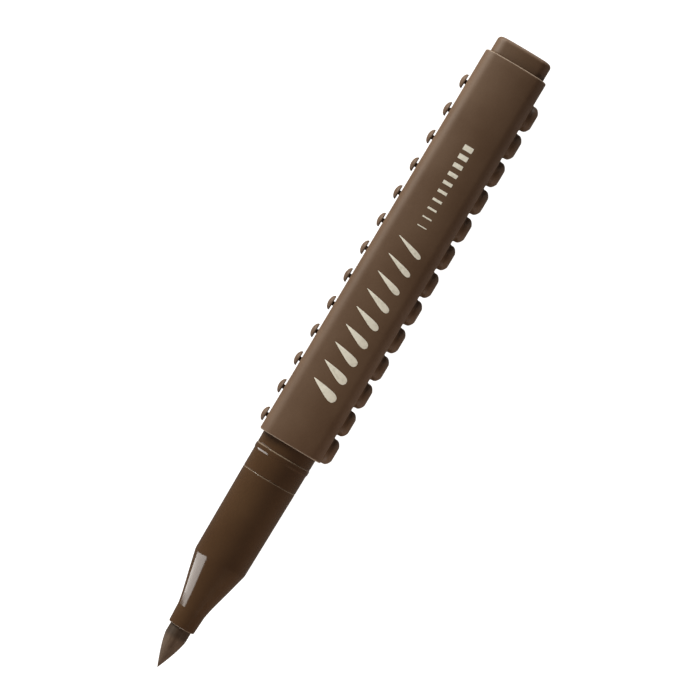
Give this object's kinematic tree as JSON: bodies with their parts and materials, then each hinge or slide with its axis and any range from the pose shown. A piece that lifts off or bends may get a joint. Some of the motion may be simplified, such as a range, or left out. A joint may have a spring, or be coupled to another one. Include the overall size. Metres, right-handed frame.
{
  "type": "brush-nib marker",
  "caption": "Uncapped marker with a flexible brush nib and a square barrel whose side pegs and socket knobs let markers link side by side.",
  "frame": {"origin": "centre of the barrel's flat back, at the barrel's mid length", "axes": "+X along the marker from the nib towards the end plug, +Z out of the crowned printed face, +Y out of the side with the pegs"},
  "size_m": [0.1406, 0.0167, 0.0136],
  "materials": {
    "barrel_plastic": "satin moulded polypropylene, warm grey brown",
    "plug_plastic": "satin moulded polypropylene, warm grey brown",
    "section_plastic": "polished moulded polypropylene, dark brown",
    "nib_fibre": "bundled polyester fibre, damp with brown ink",
    "core_fibre": "loosely bundled polyester fibre, soaked with brown ink",
    "film": "thin milky plastic film",
    "tube_plastic": "natural translucent plastic",
    "print_ink": "pad-printed off-white ink"
  },
  "bodies": {
    "marker_body": {"barrel": "barrel_plastic", "rear_plug": "plug_plastic", "grip_section": "section_plastic", "nib_tail": "nib_fibre", "ink_reservoir": "core_fibre", "reservoir_film": "film", "breather_tube": "tube_plastic"},
    "brush": {"brush_tip": "nib_fibre"}
  },
  "joints": [
    {"name": "brush_flex", "type": "hinge", "parent": "marker_body", "child": "brush", "pos_m": [-0.08614, 0, 0.00677], "axis": [0, 1, 0], "range_deg": [-35, 35], "stiffness_Nm_per_rad": 0.006}
  ]
}
